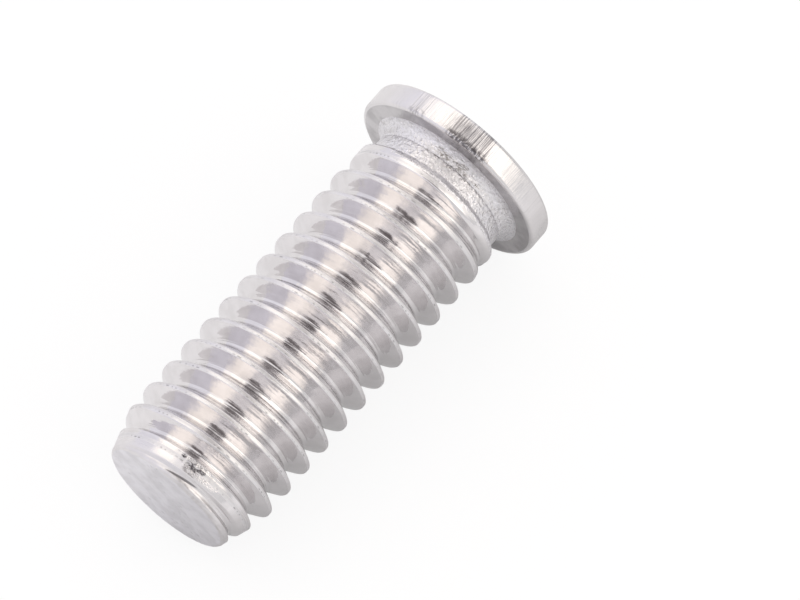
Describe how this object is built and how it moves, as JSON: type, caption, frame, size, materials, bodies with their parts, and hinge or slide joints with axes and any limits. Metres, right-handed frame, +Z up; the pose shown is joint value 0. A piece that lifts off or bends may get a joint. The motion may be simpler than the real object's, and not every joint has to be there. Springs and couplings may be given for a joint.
{
  "type": "weld stud",
  "caption": "Threaded stud with a thin round flange and a small ignition tip, lying on its side, for stud welding to sheet metal.",
  "frame": {"origin": "lowest point of the box's middle, on the table that the stud lies on", "axes": "+X along the stud towards its flange, +Z up; the stud's own axis rises 3.3 degrees towards the flange"},
  "size_m": [0.017, 0.0074, 0.0075],
  "materials": {
    "bright_stainless": "bright rolled thread flanks, drawn and lightly scratched flange rim, matte cut end and weld face"
  },
  "bodies": {
    "root": {"weld_stud": "bright_stainless"}
  },
  "joints": []
}
